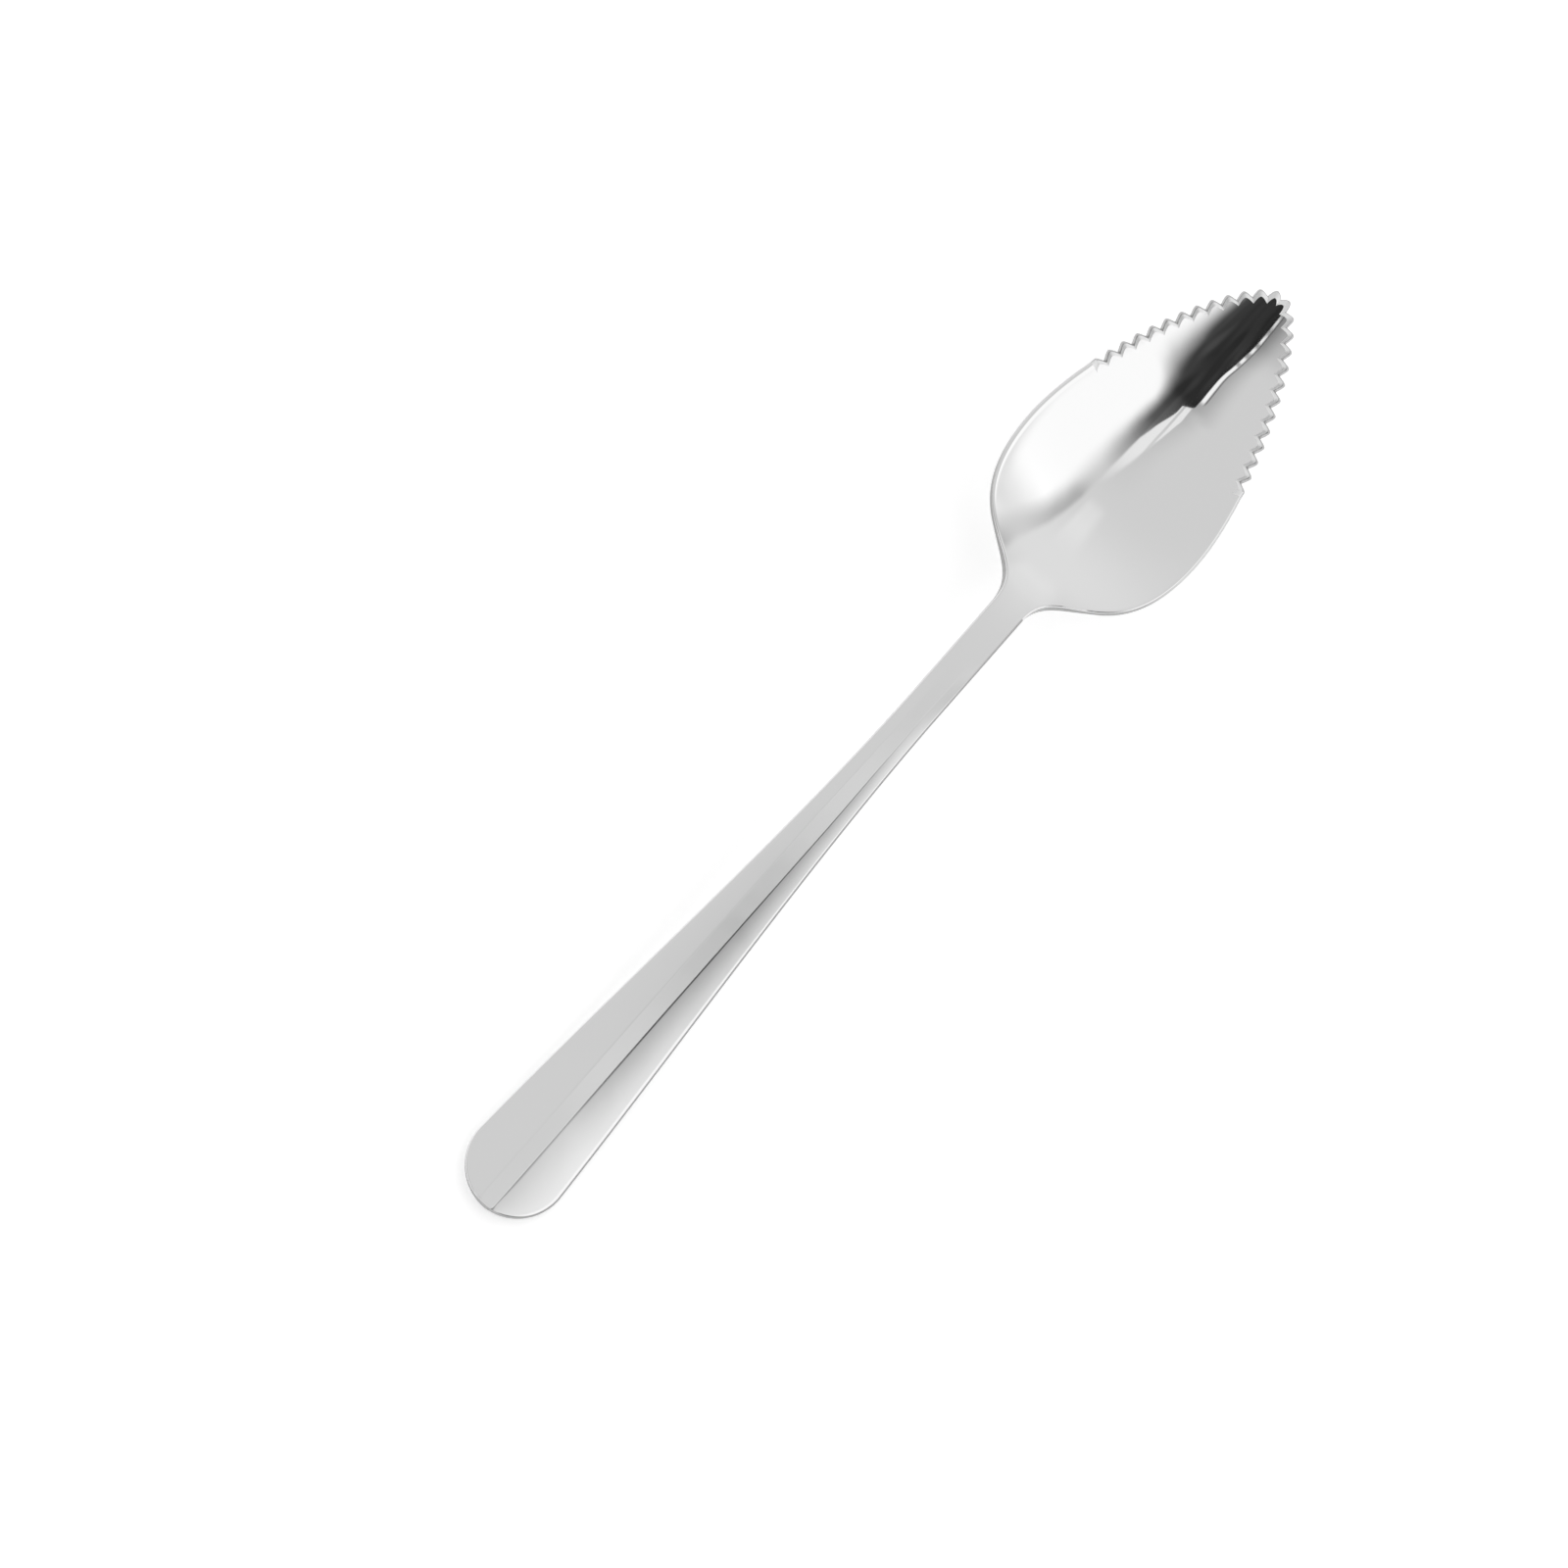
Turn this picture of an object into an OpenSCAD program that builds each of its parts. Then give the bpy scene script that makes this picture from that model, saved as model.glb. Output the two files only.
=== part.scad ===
// Grapefruit spoon: a pointed, dished bowl with a serrated front edge on a slim arched handle.
// It lies as on a table, on the belly of the bowl and on the flat back of the handle end.
// Lengths are in millimetres, +X runs towards the tip and +Z is up.

/* [Overall] */
// Length from the handle end to the tip
overall_l = 160; // [135:1:200]

/* [Bowl] */
// Length of the bowl from the neck to the point of its inner rim
bowl_l = 57; // [50:0.5:66]
// Width between the inner rims at the widest place
bowl_w = 29; // [22:0.2:36]
// Depth below the rim at the widest place
bowl_depth = 5.5; // [4:0.1:8]
// Thickness of the sheet in the bowl
bowl_t = 0.9; // [0.8:0.05:1.5]
// Distance from the neck to the widest place
heel_l = 22; // [18:0.5:27]
// Run of the hollow fillet where the neck widens into the heel
heel_fillet = 8.2; // [5:0.1:11]
// Run of the round shoulder behind the widest place
heel_shoulder = 18; // [13:0.5:19]
// Run of the full sides ahead of the widest place
side_fullness = 13; // [8:0.5:18]
// Breadth of the rounded point
tip_breadth = 4.9; // [3:0.1:8]
// How many times sharper the dish is at the tip than at the widest place
tip_keel = 2.6; // [1.5:0.1:4]
// Height of the tip above the rim at the widest place
tip_lift = 2.5; // [0:0.1:5]

/* [Serrated edge] */
// Teeth on each side of the tip
teeth = 12; // [5:1:15]
// Distance from tooth to tooth along the edge
tooth_pitch = 2.2; // [1.5:0.05:2.6]
// Depth of the notches
tooth_depth = 0.8; // [0.6:0.05:1.8]
// Roundness of the tooth points, as a share of half a pitch
tooth_round = 0.35; // [0.05:0.01:0.5]
// Plain metal left between the notches and the dish
tooth_root = 0.5; // [0.3:0.05:1.2]
// Thickness that grinding leaves at the tooth points
edge_t = 0.55; // [0.4:0.05:0.9]

/* [Neck] */
// Width of the neck
neck_w = 4.7; // [3.5:0.1:7]
// Thickness of the neck
neck_t = 2.4; // [1.6:0.1:3.5]
// Length of the neck behind the bowl
neck_l = 16; // [8:0.5:24]
// Distance from the end of the neck at which its metal has thinned to the sheet of the bowl
neck_fade = 10; // [6:0.5:18]
// Height of the neck above the rim
neck_rise = 0.9; // [0.5:0.1:4]

/* [Handle] */
// Width of the handle where its rounded end starts
end_w = 13.6; // [9:0.1:18]
// Length of the rounded end
end_round = 7; // [4:0.5:10]
// Spread of each side where the rounded end starts, for each millimetre along
end_flare = 0.05; // [0:0.01:0.1]
// Thickness of the handle end along its middle
handle_t = 2.2; // [1.6:0.1:3]
// Thickness of the handle end along its sides
side_t = 0.9; // [0.8:0.1:1.5]
// Width of the flat land along the top
land_w = 2.2; // [1:0.1:4]
// Length of the flat back that lies on the table
rest_l = 14; // [10:1:30]
// Bevel along the long edges and the plain rim
edge_bevel = 0.25; // [0.1:0.05:0.35]

/* [Hidden] */

steel = [0.78, 0.79, 0.80];

// How finely the forms are divided
outline_steps = 60;
dish_columns = 8;
land_columns = dish_columns / 2;
rim_column = dish_columns + 2;
heel_rows = 8;
side_rows = 22;
neck_rows = 6;
handle_rows = 34;
end_rows = 9;

// The last row of the rounded end stops just short of a point
end_angle = 87;
// Share of the shoulder's fall that comes as a rounding towards the side
shoulder_crown = 0.45;
// Shoulders reach their full fall this many neck lengths behind the bowl
shoulder_ramp = 1.5;
// Ribs fan out at the tip from a point this far behind the serrated strip, and soon lean as far
fan_inset = 1.6;
fan_power = 4;
// The neck takes this share of the fillet into the heel, and the bowl the rest
fillet_share = 0.65;
// On a narrow section the seam and the bevel take at most these shares of its half-width
seam_share = 0.25;
bevel_share = 0.125;
// Step used to measure slopes
slope_step = 0.3;

// The serrated strip, from the tooth points to the seam with the dish
strip_w = tooth_depth + tooth_root;

function clamp01(u) = max(0, min(1, u));
function smooth(u) = let (v = clamp01(u)) v * v * (3 - 2 * v);
function unit(v) = v / norm(v);
function bezier(p, u) =
    p[0] * pow(1 - u, 3) + p[1] * 3 * u * pow(1 - u, 2) + p[2] * 3 * u * u * (1 - u) + p[3] * pow(u, 3);

// Plan outline of the inner rim, from the neck round the left side to the tip
neck_corner = [0, neck_w / 2];
widest = [heel_l, bowl_w / 2];
tip = [bowl_l, 0];
heel_curve = [neck_corner, neck_corner + [heel_fillet, 0], widest - [heel_shoulder, 0], widest];
side_curve = [widest, widest + [side_fullness, 0], tip + [0, tip_breadth], tip];
function outline(u) = u < 1 ? bezier(heel_curve, u) : bezier(side_curve, u - 1);

outline_u = [for (k = [0 : 2 * outline_steps]) k / outline_steps];
outline_points = [for (u = outline_u) outline(u)];
function lengths(points, k = 0, run = 0) =
    k == len(points) - 1 ? [run]
    : concat([run], lengths(points, k + 1, run + norm(points[k + 1] - points[k])));
outline_run = lengths(outline_points);
run_to_u = [for (k = [0 : 2 * outline_steps]) [outline_run[k], outline_u[k]]];
x_to_run = [for (k = [0 : 2 * outline_steps]) [outline_points[k].x, outline_run[k]]];
x_to_square = [for (p = outline_points) [p.x, p.y * p.y]];

tip_run = outline_run[2 * outline_steps];
teeth_run = tip_run - (teeth + 0.5) * tooth_pitch;
heel_run = lookup(heel_fillet * fillet_share, x_to_run);

// Form of the bowl, with heights counted from the rim
function ahead(x) = clamp01((x - heel_l) / (bowl_l - heel_l));
function sharpness(x) =
    bowl_depth / pow(bowl_w / 2, 2)
    * (x < heel_l ? 1 - pow(1 - clamp01(x / heel_l), 2) : 1 + (tip_keel - 1) * pow(ahead(x), 2));
function rim_rise(x) = x < heel_l ? neck_rise * pow(1 - x / heel_l, 2) : tip_lift * pow(ahead(x), 2);
function bowl_z(x, y) = rim_rise(x) - sharpness(x) * (lookup(x, x_to_square) - y * y);
function bowl_normal(x, y) =
    let (front = min(slope_step, bowl_l - x),
         rise = bowl_z(x + front, y) - bowl_z(x - slope_step, y))
    unit([-rise / (front + slope_step), -2 * sharpness(x) * y, 1]);
function bowl_thickness(x, y) =
    neck_t + (bowl_t - neck_t) * smooth(norm([x, max(0, abs(y) - neck_w / 2)]) / neck_fade);

// A rib crosses from a point of the rim to the middle line, square to the rim where the teeth are
fan = strip_w + fan_inset;
function rib(run) =
    let (rim = outline(lookup(run, run_to_u)))
    [rim, [rim.x - fan * (1 - pow(1 - ahead(rim.x), fan_power)), 0]];
function rib_length(r) = norm(r[0] - r[1]);
function along_rib(r, inset) = r[0] + unit(r[1] - r[0]) * inset;

// A pair is a point of the upper face, lower where the teeth are ground, and the point under it
// on the lower face
function bowl_pair(p, bevel = 0, grind = 0) =
    let (n = bowl_normal(p.x, p.y), top = [p.x, p.y, rim_z + bowl_z(p.x, p.y)])
    [top - n * (bevel + grind), top - n * (bowl_thickness(p.x, p.y) - bevel)];

// Rows of pairs from the right side to the left, each column a distance from the middle line
function seam_inset(r, toothed) = toothed ? strip_w : min(strip_w, rib_length(r) * seam_share);
function inset(r, column, toothed) =
    let (seam = seam_inset(r, toothed))
    column == rim_column ? 0
    : column == rim_column - 1 ? edge_bevel
    : seam + (rib_length(r) - seam) * (1 - column / dish_columns);
function on_side(p, j) = j < 0 ? [p.x, -p.y] : p;
function bowl_row(run, toothed = false) =
    let (r = rib(run))
    [for (j = [-rim_column : rim_column])
        let (p = along_rib(r, inset(r, abs(j), toothed)))
        bowl_pair(on_side(p, j), abs(j) == rim_column ? edge_bevel : 0)];

// The rim stands where the lowest point of the belly touches the table
belly_depths = [for (k = [0 : 2 * outline_steps])
    let (x = outline_points[k].x)
    bowl_thickness(x, 0) * bowl_normal(x, 0).z - bowl_z(x, 0)];
rim_z = max(belly_depths);

// Rows of the serrated edge: a rounded tooth point and the notch after it, ground at an even slope
tooth_phases = [0, 0.1, 0.22, 0.5, 0.78, 0.9];
function notch(phase) =
    let (h = 2 * min(phase, 1 - phase), r = tooth_round)
    tooth_depth * (sqrt(h * h + r * r) - r) / (sqrt(1 + r * r) - r);
tooth_rows = [for (k = [0 : teeth]) for (phase = tooth_phases)
    if (k + phase <= teeth + 0.5) [teeth_run + (k + phase) * tooth_pitch, notch(phase)]];
function strip_row(row, side) =
    let (r = rib(row[0]),
         seam = bowl_pair(on_side(along_rib(r, strip_w), side)),
         grind = max(0, bowl_t - edge_t) * (1 - row[1] / strip_w),
         edge = bowl_pair(on_side(along_rib(r, row[1]), side), 0, grind))
    side < 0 ? [edge, seam] : [seam, edge];

// The tip reaches as far as the lower edge of its foremost teeth
reach = max([for (row = tooth_rows) for (p = strip_row(row, 1)[1]) p.x]);
handle_l = overall_l - reach;
centre_x = overall_l / 2 - reach;

// Side line of the neck and the handle: it rises from the bowl, arches over and comes down flat
arch_l = handle_l - rest_l;
neck_slope = 2 * neck_rise / heel_l;
function arch_z(x) =
    let (u = clamp01(-x / arch_l))
    (rim_z + neck_rise) * (1 - smooth(u)) + arch_l * neck_slope * u * pow(1 - u, 2) + handle_t * smooth(u);
function arch_normal(x) = unit([arch_z(x - slope_step) - arch_z(x + slope_step), 0, 2 * slope_step]);
function arch_thickness(x) = neck_t + (handle_t - neck_t) * smooth(-x / arch_l);

// Half-width of the handle, which is straight at the neck and then flares
flare_l = handle_l - end_round - neck_l;
function half_width(x) =
    let (u = clamp01((-x - neck_l) / flare_l))
    neck_w / 2 + (end_w - neck_w) / 2 * smooth(u) - flare_l * end_flare * u * u * (1 - u);

// Across the handle: a flat land, a shoulder that slopes to the side, and a bevel
function shoulder_fall(x, y, w, land) =
    let (across = clamp01((abs(y) - land) / (w - land)),
         full = (handle_t - side_t) * (w - land) / (end_w / 2 - land_w / 2))
    full * smooth(-x / neck_l / shoulder_ramp) * across * (1 - shoulder_crown + shoulder_crown * across);
function handle_row(x, w) =
    let (seam = min(strip_w, w * seam_share), land = min(land_w / 2, (w - seam) / 2),
         bevel = min(edge_bevel, w * bevel_share), n = arch_normal(x), t = arch_thickness(x))
    [for (j = [-rim_column : rim_column])
        let (c = abs(j),
             y = c == rim_column ? w
                 : c == rim_column - 1 ? w - bevel
                 : c <= land_columns ? land * c / land_columns
                 : land + (w - seam - land) * (c - land_columns) / (dish_columns - land_columns),
             rim = c == rim_column ? bevel : 0,
             top = [x, j < 0 ? -y : y, arch_z(x)])
        [top - n * (shoulder_fall(x, y, w, land) + rim), top - n * (t - rim)]];

function between(a, b, steps) = [for (k = [0 : steps]) a + (b - a) * k / steps];
end_x = end_round - handle_l;
rounded_end = [for (a = between(end_angle, 0, end_rows))
    handle_row(end_x - end_round * sin(a) / sin(end_angle), end_w / 2 * cos(a))];
handle_body = [for (x = between(end_x, -neck_l, handle_rows)) handle_row(x, half_width(x))];
neck_bar = [for (x = between(-neck_l, 0, neck_rows)) handle_row(x, neck_w / 2)];
heel = [for (run = between(0, heel_run, heel_rows)) bowl_row(run)];
plain_side = [for (run = between(heel_run, teeth_run, side_rows)) bowl_row(run)];
toothed_side = [for (row = tooth_rows) bowl_row(row[0], true)];

function tail(list, first = 1) = [for (k = [first : len(list) - 1]) list[k]];
function head(list) = [for (k = [0 : len(list) - 2]) list[k]];

// A closed solid between the upper and the lower points of rows that run towards the tip.
// From row step_in on, the cells outside the seam are left out. With a closed tip, the last
// row is folded on the middle line, so its left and right halves share their points.
module slab(rows, step_in = undef, closed_tip = false) {
    last = len(rows) - 1;
    columns = len(rows[0]);
    count = (last + 1) * columns;
    function id(i, j) = i * columns + (closed_tip && i == last ? max(j, columns - 1 - j) : j);
    function from_middle(j) = abs(j + 0.5 - (columns - 1) / 2);
    function kept(i, j) =
        i >= 0 && i < last && j >= 0 && j < columns - 1
        && (is_undef(step_in) || i < step_in || from_middle(j) < dish_columns);
    points = concat([for (row = rows) for (p = row) p[0]], [for (row = rows) for (p = row) p[1]]);
    cells = [for (i = [0 : last - 1]) for (j = [0 : columns - 2])
        if (kept(i, j)) [i, j, id(i, j), id(i, j + 1), id(i + 1, j + 1), id(i + 1, j)]];
    faces = [for (cell = cells)
        let (i = cell[0], j = cell[1], a = cell[2], b = cell[3], c = cell[4], d = cell[5], n = count)
        each concat(
            [[a, b, c], [a, c, d], [a + n, c + n, b + n], [a + n, d + n, c + n]],
            kept(i, j - 1) ? [] : [[d, d + n, a + n], [d, a + n, a]],
            kept(i, j + 1) ? [] : [[c, b, b + n], [c, b + n, c + n]],
            kept(i - 1, j) ? [] : [[b, a, a + n], [b, a + n, b + n]],
            kept(i + 1, j) || (closed_tip && i == last - 1) ? []
                : [[c, c + n, d + n], [c, d + n, d]])];
    polyhedron(points, faces, convexity = 6);
}

module in_frame() {
    color(steel) translate([centre_x, 0, 0]) children();
}

module bowl() {
    in_frame() slab(concat(head(plain_side), toothed_side), step_in = side_rows, closed_tip = true);
}

module left_serrated_edge() {
    in_frame() slab([for (row = tooth_rows) strip_row(row, 1)]);
}

module right_serrated_edge() {
    in_frame() slab([for (row = tooth_rows) strip_row(row, -1)]);
}

module neck() {
    in_frame() slab(concat(neck_bar, tail(heel)));
}

module handle() {
    in_frame() slab(concat(rounded_end, tail(handle_body)));
}

bowl();
left_serrated_edge();
right_serrated_edge();
neck();
handle();
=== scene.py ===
"""Looks of a grapefruit spoon, one stamping of polished stainless steel that lies on a pale floor.

The steel starts as a flat blank. Its points are formed to the arched handle and the dished bowl, the
teeth are cut into the front of the rim and ground, and the blank is then extruded to the thickness of
the sheet. Sizes are in millimetres until they go to Blender, and x counts from the end of the neck
towards the tip, as in the part.
"""

import math

import bpy
import numpy as np
from mathutils import Matrix
from mathutils import Vector


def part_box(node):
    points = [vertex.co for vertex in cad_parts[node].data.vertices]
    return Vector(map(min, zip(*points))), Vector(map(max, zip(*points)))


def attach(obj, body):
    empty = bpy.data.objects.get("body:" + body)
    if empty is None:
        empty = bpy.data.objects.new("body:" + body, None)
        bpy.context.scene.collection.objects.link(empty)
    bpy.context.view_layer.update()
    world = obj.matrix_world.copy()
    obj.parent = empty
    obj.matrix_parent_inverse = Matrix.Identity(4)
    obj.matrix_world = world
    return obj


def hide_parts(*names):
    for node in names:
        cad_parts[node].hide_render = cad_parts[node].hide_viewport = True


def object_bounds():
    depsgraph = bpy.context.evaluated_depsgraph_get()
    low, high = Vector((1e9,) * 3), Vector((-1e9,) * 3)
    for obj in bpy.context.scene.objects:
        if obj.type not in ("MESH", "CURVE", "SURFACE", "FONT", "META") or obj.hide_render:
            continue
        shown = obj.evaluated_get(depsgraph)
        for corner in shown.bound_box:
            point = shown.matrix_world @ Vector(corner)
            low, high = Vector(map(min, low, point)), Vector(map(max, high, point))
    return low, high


MM = 0.001

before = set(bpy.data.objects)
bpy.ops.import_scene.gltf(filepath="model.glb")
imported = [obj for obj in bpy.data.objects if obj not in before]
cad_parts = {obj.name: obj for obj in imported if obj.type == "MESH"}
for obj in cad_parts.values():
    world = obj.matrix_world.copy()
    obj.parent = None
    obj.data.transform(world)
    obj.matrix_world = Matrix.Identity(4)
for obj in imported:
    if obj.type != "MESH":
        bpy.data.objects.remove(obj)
cad_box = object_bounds()

# Bowl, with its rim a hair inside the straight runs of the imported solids
BOWL_L = 56.95
BOWL_W = 28.9
BOWL_DEPTH = 5.5
BOWL_T = 0.9
HEEL_L = 22.0
HEEL_FILLET = 8.2
HEEL_SHOULDER = 18.0
SIDE_FULLNESS = 13.0
TIP_BREADTH = 4.9
TIP_KEEL = 2.6
TIP_LIFT = 2.5

# Serrated edge, with a notch on the tip itself and a chamfer that widens over the last teeth
TEETH = 12
PITCHES = TEETH + 0.5
TOOTH_PITCH = 2.2
TOOTH_DEPTH = 0.8
TOOTH_ROUND = 0.35
TOOTH_ROOT = 0.5
EDGE_T = 0.55
STRIP_W = TOOTH_DEPTH + TOOTH_ROOT
CHAMFER = 0.5
TIP_CHAMFER = 0.9
WIDENING_TEETH = 3

# Neck and handle
NECK_W = 4.7
NECK_T = 2.4
NECK_L = 16.0
NECK_FADE = 10.0
NECK_RISE = 0.9
END_W = 13.6
END_ROUND = 7.0
END_ANGLE = math.radians(87)
END_FLARE = 0.05
HANDLE_T = 2.2
SIDE_T = 0.9
LAND_W = 2.2
REST_L = 14.0
SHOULDER_CROWN = 0.1
SHOULDER_RAMP = 1.5

# Ribs fan out at the tip, and on a narrow section the margin takes at most a share of the half-width
FAN_MIDDLE = 1.6
FAN = STRIP_W + FAN_MIDDLE
FAN_POWER = 4
SEAM_SHARE = 0.25

# Polishing leaves the long edges rounded, and the ground teeth keep crisp ones
EDGE_ROUND = 0.25
EDGE_SHARE = 0.125
TOOTH_EDGE = 0.1
EDGE_BLEND = 1.0

# The forms run into each other over this length, so that no line shows in the polish
BLEND_L = 3.0
PROFILE_STEP = 0.05
SLOPE_STEP = 0.3

# How finely the blank is divided
OUTLINE_STEPS = 600
END_ROWS = 24
HANDLE_ROWS = 100
NECK_ROWS = 28
SIDE_ROWS = 96
ROWS_PER_TOOTH = 16
DISH_COLUMNS = 24
MARGIN_COLUMNS = 3
ROUND_COLUMNS = 3
EDGE_COLUMN = DISH_COLUMNS + MARGIN_COLUMNS + ROUND_COLUMNS

# The wheel takes hold some rows before the first tooth
START_ROWS = 2

# Points nearer than this are one, and faces that meet at less than this angle shade as one
WELD = 0.0002
SMOOTH_ANGLE = math.radians(35)

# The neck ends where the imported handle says, and the belly rests on the floor
centre_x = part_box("handle")[1].x / MM + NECK_L
handle_l = centre_x - cad_box[0].x / MM
arch_l = handle_l - REST_L
flare_l = handle_l - END_ROUND - NECK_L
rim_z = BOWL_DEPTH + BOWL_T


def smooth(u):
    """An ease from 0 to 1."""
    u = np.clip(u, 0, 1)
    return u * u * (3 - 2 * u)


def bezier(points, u):
    """Points of a cubic curve at the shares u."""
    a, b, c, d = np.array(points, float)
    u = u[:, None]
    return a * (1 - u) ** 3 + 3 * b * u * (1 - u) ** 2 + 3 * c * u ** 2 * (1 - u) + d * u ** 3


# Plan outline of the inner rim, from the neck round the left side to the tip
share = np.linspace(0, 1, OUTLINE_STEPS)
neck_corner = np.array((0, NECK_W / 2))
widest = np.array((HEEL_L, BOWL_W / 2))
tip = np.array((BOWL_L, 0))
heel_handles = neck_corner + (HEEL_FILLET, 0), widest - (HEEL_SHOULDER, 0)
side_handles = widest + (SIDE_FULLNESS, 0), tip + (0, TIP_BREADTH)
heel_curve = bezier((neck_corner, *heel_handles, widest), share)
side_curve = bezier((widest, *side_handles, tip), share)
outline = np.vstack((heel_curve, side_curve[1:]))
outline_run = np.append(0, np.cumsum(np.hypot(*np.diff(outline, axis=0).T)))
tip_run = outline_run[-1]
teeth_run = tip_run - PITCHES * TOOTH_PITCH
teeth_x = np.interp(teeth_run, outline_run, outline[:, 0])


def ahead(x):
    """Share of the way from the widest place to the tip."""
    return np.clip((x - HEEL_L) / (BOWL_L - HEEL_L), 0, 1)


def half_width(x):
    """Half-width of the neck and the handle, straight at the neck and then flaring."""
    u = np.clip((-x - NECK_L) / flare_l, 0, 1)
    return NECK_W / 2 + (END_W - NECK_W) / 2 * smooth(u) - flare_l * END_FLARE * u * u * (1 - u)


def arch_z(x):
    """Side line of the neck and the handle: up from the bowl, over and down flat."""
    u = np.clip(-x / arch_l, 0, 1)
    rise = arch_l * 2 * NECK_RISE / HEEL_L * u * (1 - u) ** 2
    return (rim_z + NECK_RISE) * (1 - smooth(u)) + rise + HANDLE_T * smooth(u)


# Profiles along the middle line: height of the rim, sharpness of the dish, and half-width squared
axis_x = np.arange(-handle_l - BLEND_L, BOWL_L + PROFILE_STEP, PROFILE_STEP)
heel_share = np.clip(axis_x / HEEL_L, 0, 1)
rim_rise = NECK_RISE * (1 - heel_share) ** 2 + TIP_LIFT * ahead(axis_x) ** 2
height_raw = np.where(axis_x < 0, arch_z(axis_x), rim_z + rim_rise)
bowl_curve = BOWL_DEPTH / (BOWL_W / 2) ** 2
curve_raw = bowl_curve * (1 - (1 - heel_share) ** 2) * (1 + (TIP_KEEL - 1) * ahead(axis_x) ** 2)
bowl_square = np.interp(axis_x, outline[:, 0], outline[:, 1] ** 2)
square_raw = np.where(axis_x < 0, half_width(axis_x) ** 2, bowl_square)


def blended(profile):
    """The profile with its corners eased over BLEND_L to both sides."""
    reach = round(BLEND_L / PROFILE_STEP)
    weights = np.hanning(2 * reach + 3)[1:-1]
    padded = np.pad(profile, reach, mode="reflect", reflect_type="odd")
    return np.convolve(padded, weights / weights.sum(), mode="valid")


height_line = blended(height_raw)
curve_line = blended(curve_raw)
square_line = blended(square_raw)


def surface_z(x, y):
    """Height of the upper face over a plan point, before the handle's shoulders."""
    curve = np.interp(x, axis_x, curve_line)
    return np.interp(x, axis_x, height_line) - curve * (np.interp(x, axis_x, square_line) - y * y)


def surface_normal(x, y):
    """Direction in which the sheet has its thickness."""
    front = np.minimum(SLOPE_STEP, np.maximum(BOWL_L - x, 0))
    slope = (surface_z(x + front, y) - surface_z(x - SLOPE_STEP, y)) / (front + SLOPE_STEP)
    normal = np.stack((-slope, -2 * np.interp(x, axis_x, curve_line) * y, np.ones_like(x)), -1)
    return normal / np.linalg.norm(normal, axis=-1, keepdims=True)


def thickness(x, y):
    """Thickness of the sheet, which thins from the neck into the bowl."""
    from_neck = np.hypot(np.maximum(x, 0), np.maximum(0, np.abs(y) - NECK_W / 2))
    bowl = NECK_T + (BOWL_T - NECK_T) * smooth(from_neck / NECK_FADE)
    handle = NECK_T + (HANDLE_T - NECK_T) * smooth(-x / arch_l)
    return np.where(x < 0, handle, bowl)


# Columns across the blank: the dish or the handle's top, a margin, and the rounding of the edge
column = np.arange(-EDGE_COLUMN, EDGE_COLUMN + 1)
column_side = np.where(column < 0, -1, 1)
in_dish = np.minimum(np.abs(column) / DISH_COLUMNS, 1)
in_margin = np.clip((np.abs(column) - DISH_COLUMNS) / MARGIN_COLUMNS, 0, 1)
in_round = np.clip((np.abs(column) - DISH_COLUMNS - MARGIN_COLUMNS) / ROUND_COLUMNS, 0, 1)
edge_turn = in_round * math.pi / 2


def station(x, y, fall, edge):
    """One row of the blank: its upper points and the lower points under them, from right to left."""
    drop = edge * (1 - np.cos(edge_turn))
    normal = surface_normal(x, y)
    skin = np.stack((x, y, surface_z(x, y)), -1)
    upper = skin - normal * (fall + drop)[:, None]
    lower = skin - normal * (thickness(x, y) - drop)[:, None]
    return upper, lower


def handle_station(x, w):
    """A row of the neck or the handle: a flat land, sloping shoulders and rounded edges.

    In the rounded end the creases run straight on.
    """
    seam = min(STRIP_W, w * SEAM_SHARE)
    land = min(LAND_W / 2, (w - seam) / 2)
    edge = min(EDGE_ROUND, w * EDGE_SHARE)
    y = np.interp(in_dish, (0, 0.5, 1), (0, land, w - seam))
    y = y + (seam - edge) * in_margin + edge * np.sin(edge_turn)
    crease = LAND_W / 2 if x < end_x else land
    across = np.clip((y - crease) / max(w - crease, edge), 0, 1)
    full = (HANDLE_T - SIDE_T) * max(w - crease, 0) / (END_W / 2 - LAND_W / 2)
    fall = full * across * (1 - SHOULDER_CROWN + SHOULDER_CROWN * across)
    fall = fall * smooth(-x / NECK_L / SHOULDER_RAMP)
    return station(np.full_like(y, x), y * column_side, fall, edge)


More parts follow.
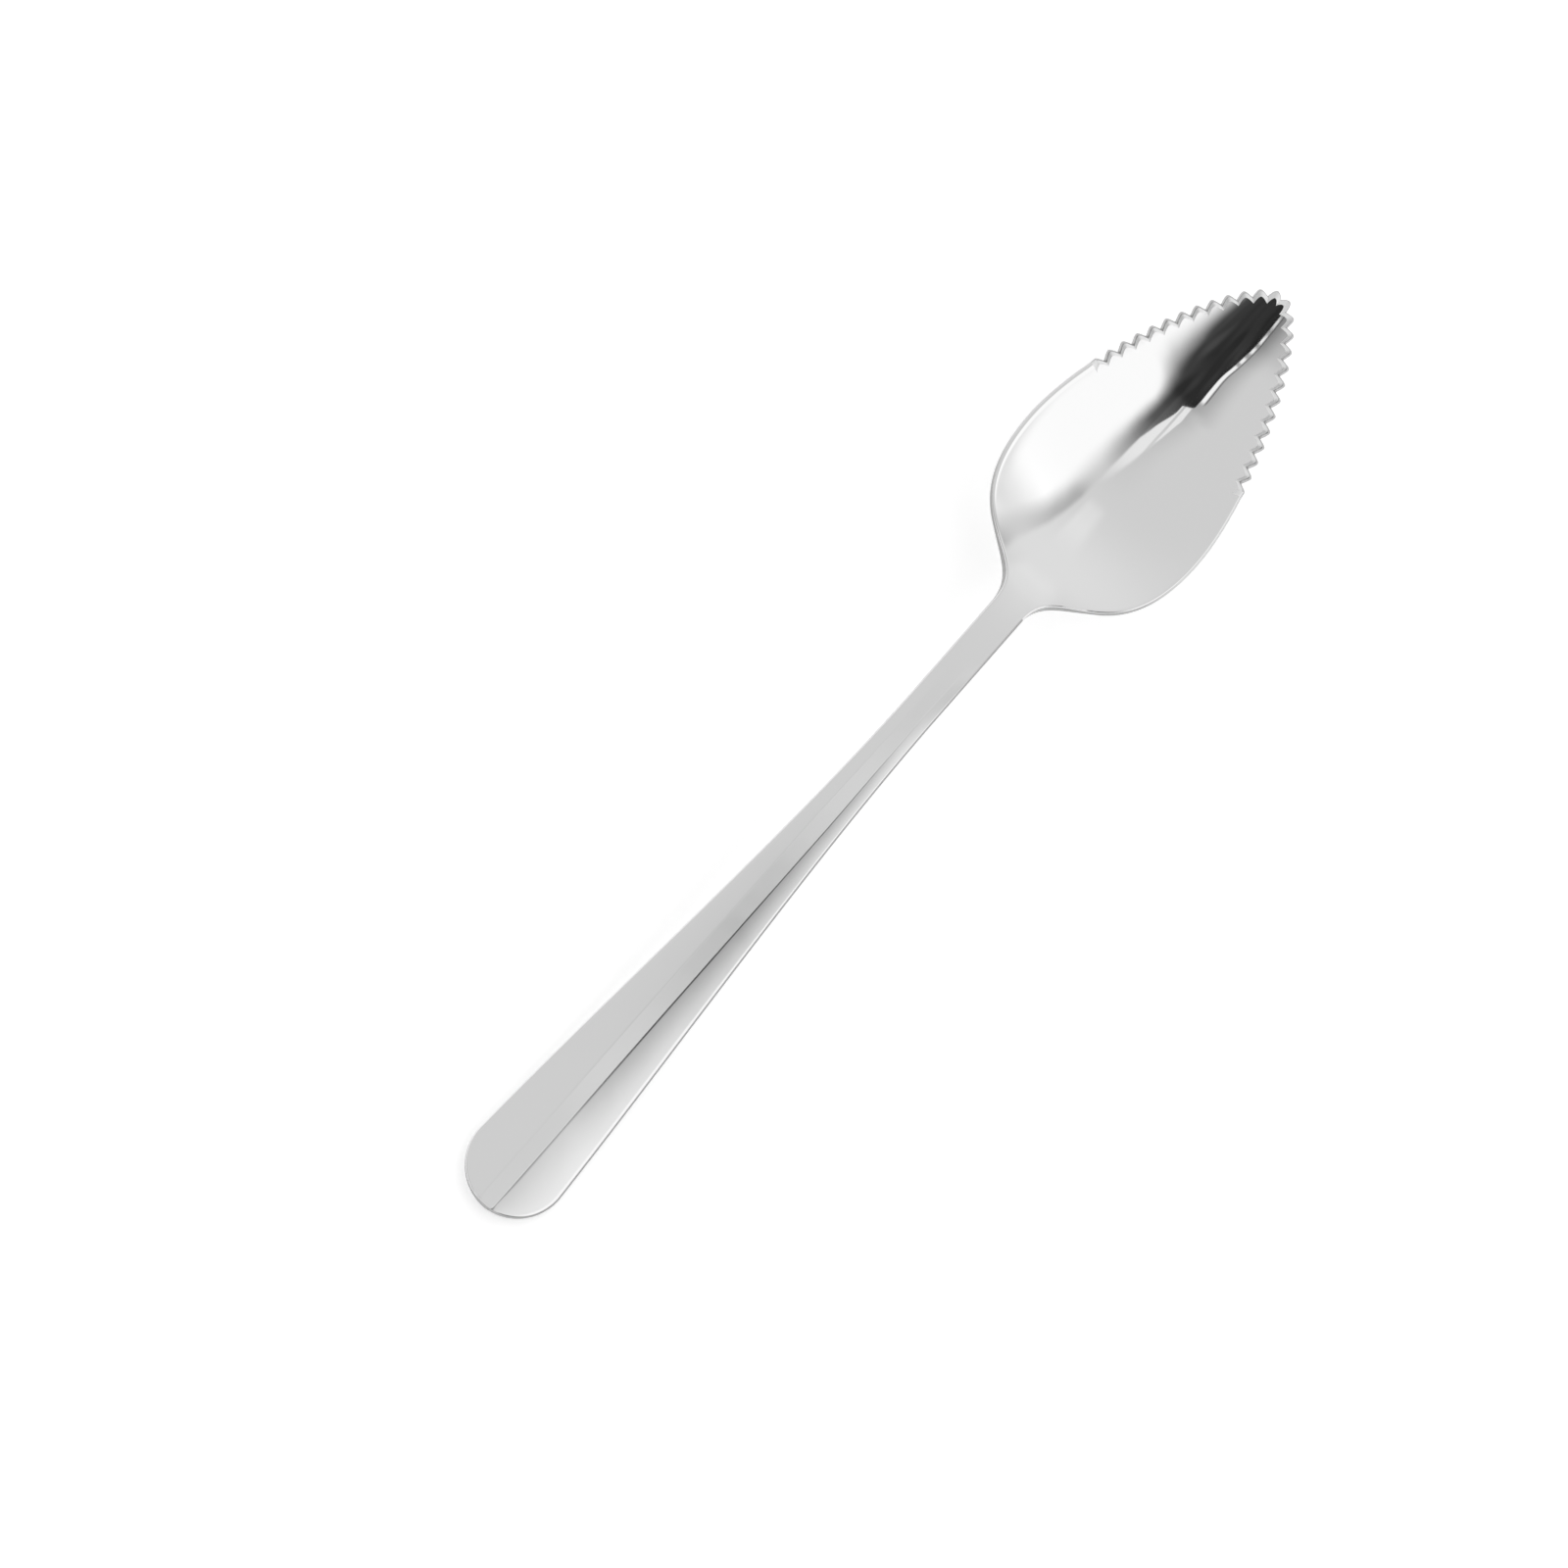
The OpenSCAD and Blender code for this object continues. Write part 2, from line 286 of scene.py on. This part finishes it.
def bowl_station(run, cut):
    """A row of the bowl along a rib, square to the rim where the teeth are, with the rim cut back.

    The teeth have a chamfer that follows their outline, wider at the tip, and the plain rim has none.
    """
    rim = np.array([np.interp(run, outline_run, outline[:, k]) for k in (0, 1)])
    spine = np.array((rim[0] - FAN * (1 - (1 - ahead(rim[0])) ** FAN_POWER), 0))
    rib_l = np.linalg.norm(rim - spine)
    to_teeth = smooth((run - teeth_run + EDGE_BLEND) / EDGE_BLEND)
    seam = min(STRIP_W, rib_l * SEAM_SHARE) if run < teeth_run else STRIP_W
    to_tip = smooth((run - tip_run) / (WIDENING_TEETH * TOOTH_PITCH) + 1)
    chamfer = CHAMFER + (TIP_CHAMFER - CHAMFER) * to_tip
    seam = seam + (cut + chamfer - seam) * to_teeth
    edge = EDGE_ROUND + (TOOTH_EDGE - EDGE_ROUND) * to_teeth
    inset = seam + (rib_l - seam) * (1 - in_dish)
    inset = inset + (cut + edge - seam) * in_margin - edge * np.sin(edge_turn)
    plan = rim + (spine - rim) / rib_l * inset[:, None]
    depth = (BOWL_T - EDGE_T) * (1 - cut / STRIP_W * (1 - to_tip)) * to_teeth
    fall = depth * np.clip((seam - inset) / (seam - cut), 0, 1)
    return station(plan[:, 0], plan[:, 1] * column_side, fall, edge)


def notch(teeth_along):
    """Depth of the cut at a count of teeth from the first: rounded points, sharp notches between."""
    phase = teeth_along % 1
    h = 2 * min(phase, 1 - phase)
    r = TOOTH_ROUND
    return TOOTH_DEPTH * (math.hypot(h, r) - r) / (math.hypot(1, r) - r)


end_x = END_ROUND - handle_l
rows = []
for turn in np.linspace(END_ANGLE, 0, END_ROWS, endpoint=False):
    from_end = END_ROUND * math.sin(turn) / math.sin(END_ANGLE)
    rows.append(handle_station(end_x - from_end, END_W / 2 * math.cos(turn)))
for x in np.linspace(end_x, -NECK_L, HANDLE_ROWS, endpoint=False):
    rows.append(handle_station(x, half_width(x)))
for x in np.linspace(-NECK_L, 0, NECK_ROWS, endpoint=False):
    rows.append(handle_station(x, NECK_W / 2))
heel_row = len(rows)
for run in np.linspace(0, teeth_run, SIDE_ROWS, endpoint=False):
    rows.append(bowl_station(run, 0))
first_tooth_row = len(rows)
for k in range(round(PITCHES * ROWS_PER_TOOTH) + 1):
    along = k / ROWS_PER_TOOTH
    rows.append(bowl_station(teeth_run + along * TOOTH_PITCH, notch(along)))

to_frame = np.array((centre_x, 0, 0))
upper_points = (np.array([row[0] for row in rows]) + to_frame) * MM
lower_points = (np.array([row[1] for row in rows]) + to_frame) * MM


def deselect_all():
    """Nothing selected, so that an operator acts only on what is picked next."""
    if bpy.context.object and bpy.context.object.mode != "OBJECT":
        bpy.ops.object.mode_set(mode="OBJECT")
    bpy.ops.object.select_all(action="DESELECT")


def form_blank():
    """The flat blank, formed, closed at the tip and extruded to the thickness of the steel."""
    deselect_all()
    row_count, column_count = upper_points.shape[:2]
    blank_l = (cad_box[1] - cad_box[0]).x
    bpy.ops.mesh.primitive_grid_add(
        x_subdivisions=row_count - 1, y_subdivisions=column_count - 1, size=blank_l)
    spoon = bpy.context.object
    spoon.name = "polished_spoon"
    mesh = spoon.data
    mesh.name = "polished_spoon"

    # Each point's place on the flat blank gives its row and its column, which stay with it
    flat = np.array([v.co for v in mesh.vertices])
    row = np.rint((flat[:, 0] / blank_l + 0.5) * (row_count - 1)).astype(np.int32)
    col = np.rint((flat[:, 1] / blank_l + 0.5) * (column_count - 1)).astype(np.int32)
    mesh.attributes.new("row", "INT", "POINT").data.foreach_set("value", row)
    mesh.attributes.new("col", "INT", "POINT").data.foreach_set("value", col)
    mesh.vertices.foreach_set("co", upper_points[row, col].ravel())

    # The last row is folded on the middle line: its halves are joined before the sheet gets thick
    bpy.ops.object.mode_set(mode="EDIT")
    bpy.ops.mesh.select_all(action="SELECT")
    bpy.ops.mesh.remove_doubles(threshold=WELD * MM)
    bpy.ops.mesh.select_all(action="SELECT")
    bpy.ops.mesh.extrude_region_move()
    bpy.ops.object.mode_set(mode="OBJECT")
    row = mesh.attributes["row"].data
    col = mesh.attributes["col"].data
    for vertex in mesh.vertices:
        if vertex.select:
            vertex.co = lower_points[row[vertex.index].value, col[vertex.index].value]
    bpy.ops.object.mode_set(mode="EDIT")
    bpy.ops.mesh.select_all(action="SELECT")
    bpy.ops.mesh.normals_make_consistent(inside=False)
    bpy.ops.mesh.select_all(action="DESELECT")
    bpy.ops.object.mode_set(mode="OBJECT")
    return spoon


def worked_faces(spoon):
    """Numbers of the faces that the wheel has ground, and of those that take the darker sheared grey.

    Besides the sheared walls, the rounding on the right of the neck and the handle takes that grey as
    painted shade on the side away from the light, and the roundings of the teeth take it on both sides.
    """
    mesh = spoon.data
    row = np.zeros(len(mesh.vertices), np.int32)
    col = np.zeros(len(mesh.vertices), np.int32)
    mesh.attributes["row"].data.foreach_get("value", row)
    mesh.attributes["col"].data.foreach_get("value", col)
    from_middle = np.abs(col - EDGE_COLUMN)
    in_teeth = (row >= first_tooth_row - START_ROWS) & (from_middle >= DISH_COLUMNS)
    # The right-hand rounding of the neck and the handle gets the darker grey as painted shade, away from
    # the light
    shade_side_and_teeth_rounds = (row <= heel_row) & (col <= ROUND_COLUMNS)
    shade_side_and_teeth_rounds |= (row >= first_tooth_row) & (from_middle >= DISH_COLUMNS + MARGIN_COLUMNS)
    on_edge = (from_middle == EDGE_COLUMN) | (row == 0) | shade_side_and_teeth_rounds
    ground = []
    sheared_and_shaded = []
    for face in mesh.polygons:
        corners = list(face.vertices)
        if on_edge[corners].all():
            sheared_and_shaded.append(face.index)
        elif in_teeth[corners].all() and face.normal.z > 0:
            ground.append(face.index)
    return ground, sheared_and_shaded


def finish_faces(spoon, ground):
    """Soft shading over the polished faces, with the teeth and their chamfer's border kept crisp."""
    deselect_all()
    spoon.select_set(True)
    bpy.context.view_layer.objects.active = spoon
    for number in ground:
        spoon.data.polygons[number].select = True
    bpy.ops.object.mode_set(mode="EDIT")
    bpy.ops.mesh.select_mode(type="FACE")
    bpy.ops.mesh.region_to_loop()
    bpy.ops.mesh.mark_sharp()
    bpy.ops.mesh.select_all(action="DESELECT")
    bpy.ops.object.mode_set(mode="OBJECT")
    bpy.ops.object.shade_smooth_by_angle(angle=SMOOTH_ANGLE)
    even = spoon.modifiers.new("even_gloss", "WEIGHTED_NORMAL")
    even.keep_sharp = True
    bpy.ops.object.modifier_apply(modifier=even.name)


def linear(hex_colour):
    """An sRGB hex colour as linear red, green, blue and alpha."""
    parts = [int(hex_colour[k:k + 2], 16) / 255 for k in (1, 3, 5)]
    return [c / 12.92 if c <= 0.04045 else ((c + 0.055) / 1.055) ** 2.4 for c in parts] + [1]


MATH = "ShaderNodeMath"
RANGE = "ShaderNodeMapRange"
NOISE = "ShaderNodeTexNoise"
EASE = {"interpolation_type": "SMOOTHSTEP"}

# Most of what a noise gives lies between these
NOISE_LOW = 0.3
NOISE_HIGH = 0.7


def add_node(tree, kind, settings=None, inputs=()):
    """A node with its settings, and inputs by name or in order: values, sockets or other nodes."""
    node = tree.nodes.new(kind)
    for name, value in (settings or {}).items():
        setattr(node, name, value)
    named = inputs if isinstance(inputs, dict) else dict(enumerate(inputs))
    for name, value in named.items():
        if isinstance(value, bpy.types.Node):
            value = value.outputs[0]
        if isinstance(value, bpy.types.NodeSocket):
            tree.links.new(value, node.inputs[name])
        else:
            node.inputs[name].default_value = value
    return node


def new_material(name):
    """A node material with an empty tree."""
    material = bpy.data.materials.new(name)
    material.use_nodes = True
    tree = material.node_tree
    tree.nodes.clear()
    return material, tree


def polished_stainless():
    """Stainless steel, mirror-polished in the bowl and mopped along the handle.

    The eye sees a near-neutral mirror, crisp in the bowl and softer along the handle, and the change lies
    in the neck and the heel. A faint haze shows where the mop dwelt, and the shallow waves that pressing
    leaves make the mirrored edges run unevenly.
    """
    material, tree = new_material("stainless_steel_mirror_polished")
    place = add_node(tree, "ShaderNodeTexCoord").outputs["Object"]
    haze_mm = 9
    wave_mm = 5
    wave_depth_mm = 0.03
    handle_waves = 0.3
    mop_end_mm = 10
    mopped_rough = 0.13
    mirror_start_mm = 34
    mirror_rough = 0.05
    along = add_node(tree, "ShaderNodeSeparateXYZ", inputs=[place])
    haze = add_node(tree, NOISE, inputs={
        "Vector": place, "Scale": 1 / (haze_mm * MM), "Detail": 2, "Roughness": 0.5})
    mop = add_node(tree, RANGE, EASE, (
        along, mop_end_mm * MM, mirror_start_mm * MM, mopped_rough, mirror_rough))
    gloss = add_node(tree, RANGE, inputs=(haze, NOISE_LOW, NOISE_HIGH, -0.015, 0.02))
    rough = add_node(tree, MATH, {"operation": "ADD"}, (mop, gloss))
    waves = add_node(tree, NOISE, inputs={
        "Vector": place, "Scale": 1 / (wave_mm * MM), "Detail": 1, "Roughness": 0.4})
    wavy = add_node(tree, RANGE, EASE, (along, mop_end_mm * MM, mirror_start_mm * MM, handle_waves, 1))
    skin = add_node(tree, "ShaderNodeBump", inputs={
        "Height": waves, "Strength": wavy, "Distance": wave_depth_mm * MM})
    steel = add_node(tree, "ShaderNodeBsdfPrincipled", inputs={
        "Base Color": linear("#E4E4E4"), "Metallic": 1, "Roughness": rough, "Normal": skin})
    add_node(tree, "ShaderNodeOutputMaterial", inputs=[steel])
    return material


def ground_stainless():
    """Stainless steel as the grinding wheel leaves it: a bright satin with a fine, uneven scratch.

    Real scratches are some hundredths of a millimetre wide, and here they are drawn coarser to show.
    """
    material, tree = new_material("stainless_steel_ground")
    place = add_node(tree, "ShaderNodeTexCoord").outputs["Object"]
    grit_mm = 0.3
    grit = add_node(tree, NOISE, inputs={"Vector": place, "Scale": 1 / (grit_mm * MM), "Detail": 2})
    rough = add_node(tree, RANGE, inputs=(grit, NOISE_LOW, NOISE_HIGH, 0.52, 0.62))
    steel = add_node(tree, "ShaderNodeBsdfPrincipled", inputs={
        "Base Color": linear("#F6F6F6"), "Metallic": 1, "Roughness": rough})
    add_node(tree, "ShaderNodeOutputMaterial", inputs=[steel])
    return material


def sheared_and_shaded_stainless():
    """Stainless steel on the sheared sides of the blank: a darker grey with drag lines of the press.

    The grey is partly the matt shear and partly painted shade, and it is darkest on the neck and the
    handle. From the heel on it is painted paler over the plain rim of the bowl, which goes to the mouth,
    and less so over the sides of the teeth. Real drag lines are some hundredths of a millimetre apart,
    and here they are drawn coarser to show.
    """
    material, tree = new_material("stainless_steel_sheared_and_shaded")
    place = add_node(tree, "ShaderNodeTexCoord").outputs["Object"]
    line_mm = 0.25
    drag_mm = 3
    paler_start_mm = centre_x + 8
    paler_full_mm = centre_x + 20
    teeth_mm = centre_x + teeth_x
    # Painted shade darkens the handle's grey, and the rim's and the teeth's greys are painted paler
    handle_shade_grey = linear("#A8A8A8")[0]
    rim_painted_pale_grey = linear("#D6D6D6")[0]
    teeth_painted_pale_grey = linear("#C0C0C0")[0]
    lines = add_node(tree, "ShaderNodeMapping", inputs={
        "Vector": place, "Scale": (1 / (line_mm * MM), 1 / (line_mm * MM), 1 / (drag_mm * MM))})
    drag = add_node(tree, NOISE, inputs={"Vector": lines, "Scale": 1, "Detail": 2})
    rough = add_node(tree, RANGE, inputs=(drag, NOISE_LOW, NOISE_HIGH, 0.28, 0.42))
    along = add_node(tree, "ShaderNodeSeparateXYZ", inputs=[place])
    painted_paler = add_node(tree, RANGE, EASE, (along, paler_start_mm * MM, paler_full_mm * MM, 0, 1))
    tone = add_node(tree, RANGE, inputs=(painted_paler, 0, 1, handle_shade_grey, rim_painted_pale_grey))
    tone = add_node(tree, RANGE, EASE, (along, (teeth_mm - 1) * MM, teeth_mm * MM, tone, teeth_painted_pale_grey))
    steel = add_node(tree, "ShaderNodeBsdfPrincipled", inputs={
        "Base Color": tone, "Metallic": 1, "Roughness": rough})
    add_node(tree, "ShaderNodeOutputMaterial", inputs=[steel])
    return material


def matt_paper():
    """White background paper, matt: it lifts to white for what looks at it and keeps the shadow."""
    material, tree = new_material("white_paper_matt")
    glow = 0.48
    ray = add_node(tree, "ShaderNodeLightPath").outputs
    seen = add_node(tree, MATH, {"operation": "MAXIMUM"}, (ray["Is Camera Ray"], ray["Is Glossy Ray"]))
    shown = add_node(tree, MATH, {"operation": "MAXIMUM"}, (seen, ray["Is Transmission Ray"]))
    lift = add_node(tree, MATH, {"operation": "MULTIPLY"}, (shown, glow))
    paper = add_node(tree, "ShaderNodeBsdfPrincipled", inputs={
        "Base Color": linear("#F2F2F2"), "Roughness": 0.9, "Specular IOR Level": 0.0,
        "Emission Color": linear("#FFFFFF"), "Emission Strength": lift})
    add_node(tree, "ShaderNodeOutputMaterial", inputs=[paper])
    return material


# Side of the background paper, in metres
FLOOR_SIZE = 4


def lay_floor():
    """A sheet of background paper under the spoon."""
    deselect_all()
    bpy.ops.mesh.primitive_plane_add(size=FLOOR_SIZE)
    floor = bpy.context.object
    floor.name = "floor"
    floor.data.materials.append(matt_paper())


# Levels of the tent, where 1 is white: its cloth, what adds to the cloth, and the light past it
CLOTH_NEAR = 0.79
CLOTH_AHEAD = 0.93
BAND_ADDS = 0.1
PANEL_ADDS = 0.45
PANEL_FRONT_ADDS = 0.05
PATCH_LIGHT = 1.02
STREAK_LIGHT = 1.15

# Shares of the light that shaded cloth and the opening take away
SEAM_TAKES = 0.33
SHADE_TAKES = 0.4
FAR_TAKES = 0.3
FOLD_TAKES = 0.7
LINE_TAKES = 0.55
LIP_TAKES = 0.84
OPENING_TAKES = (0.93, 0.96)
HEM_TAKES = 0.5

# Folds of the dark cloth, and how fast the streak's breaks follow each other, in radians to a degree
FOLD_SCALE = 6
BREAK_RATE = 2.2


def light_tent():
    """Soft light all round: a pale tent, white on the right, with a dark opening over the handle.

    A direction is told by two angles from straight up, in degrees: how far it leans to the spoon's
    right, and how far to its tip. The steel mirrors them, so that the bowl's left wall shows what is on
    the right. An eased range stands for a soft edge, and its upper end may be another range, which it
    masks.
    """
    world = bpy.data.worlds.new("light_tent")
    bpy.context.scene.world = world
    world.use_nodes = True
    tree = world.node_tree
    tree.nodes.clear()
    look = add_node(tree, "ShaderNodeTexCoord").outputs["Generated"]
    way = add_node(tree, "ShaderNodeSeparateXYZ", inputs=[look]).outputs
    lean = add_node(tree, MATH, {"operation": "ARCCOSINE"}, [way["Z"]])
    lean_degrees = add_node(tree, MATH, {"operation": "DEGREES"}, [lean])
    lean_sine = add_node(tree, MATH, {"operation": "SINE"}, [lean])
    spread = add_node(tree, MATH, {"operation": "DIVIDE"}, (lean_degrees, lean_sine))
    left = add_node(tree, MATH, {"operation": "MULTIPLY"}, (way["Y"], spread))
    right = add_node(tree, MATH, {"operation": "MULTIPLY"}, (left, -1))
    tipward = add_node(tree, MATH, {"operation": "MULTIPLY"}, (way["X"], spread))

    # The cloth is pale, lighter ahead, and lightest in a band ahead over the middle line
    ahead_light = add_node(tree, RANGE, EASE, (tipward, 10, 85, CLOTH_NEAR, CLOTH_AHEAD))
    band = add_node(tree, RANGE, EASE, (tipward, 22, 33, 0, BAND_ADDS))
    band = add_node(tree, RANGE, EASE, (tipward, 75, 45, 0, band))
    band = add_node(tree, RANGE, EASE, (right, -10, -1, 0, band))
    band = add_node(tree, RANGE, EASE, (right, 12, 7, 0, band))
    cloth = add_node(tree, MATH, {"operation": "ADD"}, (ahead_light, band))

    # A white panel stands on the right and dims towards the front, with a soft seam beside it
    front = add_node(tree, MATH, {"operation": "MULTIPLY_ADD"}, (right, 0.4, tipward))
    panel = add_node(tree, RANGE, EASE, (front, 82, 58, PANEL_FRONT_ADDS, PANEL_ADDS))
    panel = add_node(tree, RANGE, EASE, (right, 17, 36, 0, panel))
    cloth = add_node(tree, MATH, {"operation": "ADD"}, (cloth, panel))
    seam = add_node(tree, RANGE, EASE, (tipward, 14, 32, 0, SEAM_TAKES))
    seam = add_node(tree, RANGE, EASE, (tipward, 88, 50, 0, seam))
    seam_side = add_node(tree, RANGE, inputs=(tipward, 30, 70, 0, 4))
    seam_in = add_node(tree, MATH, {"operation": "SUBTRACT"}, (right, seam_side))
    seam = add_node(tree, RANGE, EASE, (seam_in, 33, 18, 0, seam))
    seam = add_node(tree, RANGE, EASE, (seam_in, 12.5, 17, 0, seam))
    cloth = add_node(tree, RANGE, inputs=(seam, 0, 1, cloth, 0))

    # The left edge of the opening, which slants by the handle and steps aside further back
    slant = add_node(tree, RANGE, inputs=(tipward, 0.6, 8, 4.6, 14))
    back = add_node(tree, RANGE, EASE, (tipward, -10, -26, -6.7, -16.7))
    edge = add_node(tree, RANGE, EASE, (tipward, -0.8, -3, slant, back))
    inside = add_node(tree, MATH, {"operation": "SUBTRACT"}, (right, edge))

    # The cloth lies in shade beside that edge and far back
    shade = add_node(tree, RANGE, EASE, (tipward, 20, -9, 0, SHADE_TAKES))
    shade = add_node(tree, RANGE, EASE, (inside, -34, 0, 0, shade))
    shade = add_node(tree, RANGE, EASE, (inside, 8, 0, 0, shade))
    far = add_node(tree, RANGE, EASE, (tipward, -17, -27, 0, FAR_TAKES))
    far = add_node(tree, RANGE, EASE, (right, 30, 0, 0, far))
    shade = add_node(tree, MATH, {"operation": "ADD"}, (shade, far))
    cloth = add_node(tree, RANGE, inputs=(shade, 0, 1, cloth, 0))

    # Light falls past the cloth in a patch by the slanting edge, with a fold across it
    patch_side = add_node(tree, RANGE, inputs=(tipward, 1, 20, -5, 11))
    patch_in = add_node(tree, MATH, {"operation": "SUBTRACT"}, (right, patch_side))
    blur = add_node(tree, RANGE, inputs=(tipward, 4, 18, 0.6, 6))
    patch = add_node(tree, RANGE, EASE, (patch_in, -0.6, blur, 0, 1))
    patch = add_node(tree, RANGE, EASE, (tipward, 19, 9, 0, patch))
    patch = add_node(tree, RANGE, EASE, (tipward, -3, -1.5, 0, patch))
    patch = add_node(tree, RANGE, EASE, (right, 15, 12.5, 0, patch))
    fold = add_node(tree, RANGE, EASE, (right, 0.4, 1.4, 0, FOLD_TAKES))
    fold = add_node(tree, RANGE, EASE, (right, 3.8, 2.8, 0, fold))
    patch = add_node(tree, RANGE, inputs=(fold, 0, 1, patch, 0))
    cloth = add_node(tree, RANGE, inputs=(patch, 0, 1, cloth, PATCH_LIGHT))

    # Further back a dark line runs beside the edge, and light falls past it in a broken streak
    line = add_node(tree, RANGE, EASE, (inside, -7.5, -6.5, 0, LINE_TAKES))
    line = add_node(tree, RANGE, EASE, (inside, -5, -5.8, 0, line))
    line = add_node(tree, RANGE, EASE, (tipward, -4, -5.5, 0, line))
    cloth = add_node(tree, RANGE, inputs=(line, 0, 1, cloth, 0))
    streak = add_node(tree, RANGE, EASE, (inside, -5.2, -4, 0, 1))
    streak = add_node(tree, RANGE, EASE, (inside, 0, -0.8, 0, streak))
    streak = add_node(tree, RANGE, EASE, (tipward, -4, -5.5, 0, streak))
    phase = add_node(tree, MATH, {"operation": "MULTIPLY"}, (tipward, BREAK_RATE))
    bits = add_node(tree, MATH, {"operation": "SINE"}, [phase])
    bits = add_node(tree, RANGE, EASE, (tipward, -16, -18, 1, bits))
    streak = add_node(tree, RANGE, EASE, (bits, -0.4, 0.1, 0, streak))
    cloth = add_node(tree, RANGE, inputs=(streak, 0, 1, cloth, STREAK_LIGHT))

    # The opening itself: folds of dark cloth, a lip that fades in and a soft right edge that widens
    folds = add_node(tree, NOISE, inputs={"Vector": look, "Scale": FOLD_SCALE, "Detail": 0})
    depth = add_node(tree, RANGE, inputs=(folds, 0.35, 0.65, *OPENING_TAKES))
    opening = add_node(tree, RANGE, EASE, (tipward, 6, -4, LIP_TAKES, depth))
    opening = add_node(tree, RANGE, EASE, (tipward, 15, 3.5, 0, opening))
    opening = add_node(tree, RANGE, EASE, (tipward, -38, -30, 0, opening))
    ends = add_node(tree, RANGE, EASE, (tipward, 2, -10, 33, 70))
    starts = add_node(tree, RANGE, EASE, (tipward, 2, -22, 18, 42))
    opening = add_node(tree, RANGE, EASE, (right, ends, starts, 0, opening))
    opening = add_node(tree, RANGE, EASE, (inside, -0.6, 0.6, 0, opening))
    level = add_node(tree, RANGE, inputs=(opening, 0, 1, cloth, 0))

    # The panel's hem hangs in shade
    hem = add_node(tree, RANGE, EASE, (lean_degrees, 69, 84, 0, HEM_TAKES))
    hem = add_node(tree, RANGE, EASE, (right, 30, 46, 0, hem))
    level = add_node(tree, RANGE, inputs=(hem, 0, 1, level, 0))
    tent = add_node(tree, "ShaderNodeBackground", inputs=(linear("#FFFFFF"), level))
    add_node(tree, "ShaderNodeOutputWorld", inputs=[tent])


# The camera looks down on the bowl from over the handle, and the spoon runs up to the right
CAMERA_TILT = math.radians(14)
CAMERA_ASIDE = math.radians(1.5)
CAMERA_ROLL = math.radians(48.19)
CAMERA_AWAY = 700
FRAME_PX = 1600
PX_PER_MM = 7.87
SENSOR_W = 36
NEAR_CLIP = 0.05
NECK_PX = (1030.54, 620.67)


def set_camera():
    """A long lens over the handle's side, aimed so that the neck lies at its place in the frame."""
    forward = Vector((math.sin(CAMERA_TILT), 0, -math.cos(CAMERA_TILT)))
    along = Vector((math.cos(CAMERA_TILT), 0, math.sin(CAMERA_TILT)))
    across = Vector((0, -1, 0))
    aside = math.sin(CAMERA_ASIDE)
    straight = math.cos(CAMERA_ASIDE)
    view = forward * straight + across * aside
    across = across * straight - forward * aside
    right = along * math.cos(CAMERA_ROLL) + across * math.sin(CAMERA_ROLL)
    up = along * math.sin(CAMERA_ROLL) - across * math.cos(CAMERA_ROLL)
    neck = Vector((centre_x, 0, rim_z + NECK_RISE))
    off_right = (NECK_PX[0] - FRAME_PX / 2) / PX_PER_MM
    off_down = (NECK_PX[1] - FRAME_PX / 2) / PX_PER_MM
    place = (neck - view * CAMERA_AWAY - right * off_right + up * off_down) * MM
    lens = bpy.data.cameras.new("camera")
    lens.sensor_width = SENSOR_W
    lens.lens = SENSOR_W * CAMERA_AWAY * PX_PER_MM / FRAME_PX
    lens.clip_start = NEAR_CLIP
    camera = bpy.data.objects.new("camera", lens)
    bpy.context.collection.objects.link(camera)
    turn = Matrix((right, up, -view)).transposed().to_4x4()
    camera.matrix_world = Matrix.Translation(place) @ turn
    bpy.context.scene.camera = camera


spoon = form_blank()
ground, sheared_and_shaded = worked_faces(spoon)
finish_faces(spoon, ground)
for material in (polished_stainless(), ground_stainless(), sheared_and_shaded_stainless()):
    spoon.data.materials.append(material)
for finish, faces in enumerate((ground, sheared_and_shaded), start=1):
    for number in faces:
        spoon.data.polygons[number].material_index = finish
for name in ("row", "col"):
    spoon.data.attributes.remove(spoon.data.attributes[name])
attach(spoon, "root")
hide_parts("bowl", "left_serrated_edge", "right_serrated_edge", "neck", "handle")

lay_floor()
light_tent()
set_camera()
bpy.context.scene.view_settings.view_transform = "Standard"
